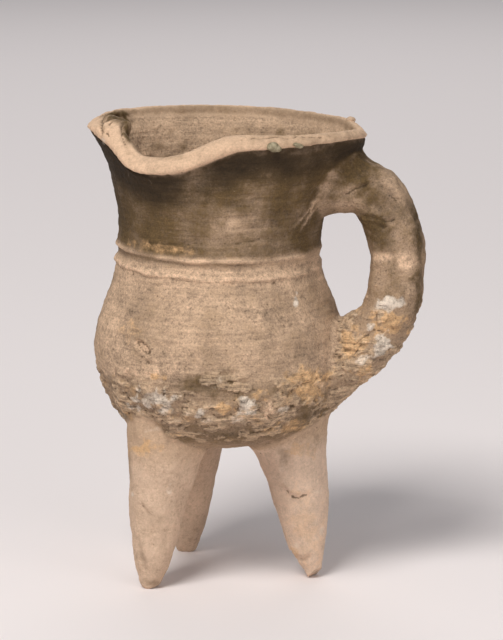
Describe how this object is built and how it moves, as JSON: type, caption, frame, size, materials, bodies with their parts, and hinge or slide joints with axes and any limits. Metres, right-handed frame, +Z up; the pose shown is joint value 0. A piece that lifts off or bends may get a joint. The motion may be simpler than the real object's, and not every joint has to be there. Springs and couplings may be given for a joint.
{
  "type": "tripod pouring vessel",
  "caption": "Hand-built earthenware tripod pouring vessel: round belly, flared oval neck with a dipped pouring lip, thick strap handle and solid tapered legs.",
  "frame": {"origin": "on the body's turning axis, at the level the feet stand on", "axes": "+Z up along the body's axis, +X towards the handle, +Y to the rear; the pouring lip is on the -Y side"},
  "size_m": [0.1428, 0.1078, 0.2001],
  "materials": {
    "body_clay": "matte",
    "neck_clay": "matte",
    "lip_clay": "matte",
    "handle_clay": "matte",
    "leg_clay": "matte",
    "pellet_clay": "matte"
  },
  "bodies": {
    "root": {"belly_bowl": "body_clay", "shoulder_ring": "body_clay", "neck_collar": "neck_clay", "lip_band": "lip_clay", "spout_fold": "lip_clay", "upper_cordon": "neck_clay", "lower_cordon": "neck_clay", "handle_strap": "handle_clay", "handle_upper_root": "handle_clay", "handle_lower_root": "handle_clay", "leg_under_handle": "leg_clay", "leg_under_spout": "leg_clay", "leg_at_rear": "leg_clay", "collar_under_handle": "leg_clay", "collar_under_spout": "leg_clay", "collar_at_rear": "leg_clay", "rim_pellets": "pellet_clay"}
  },
  "joints": []
}
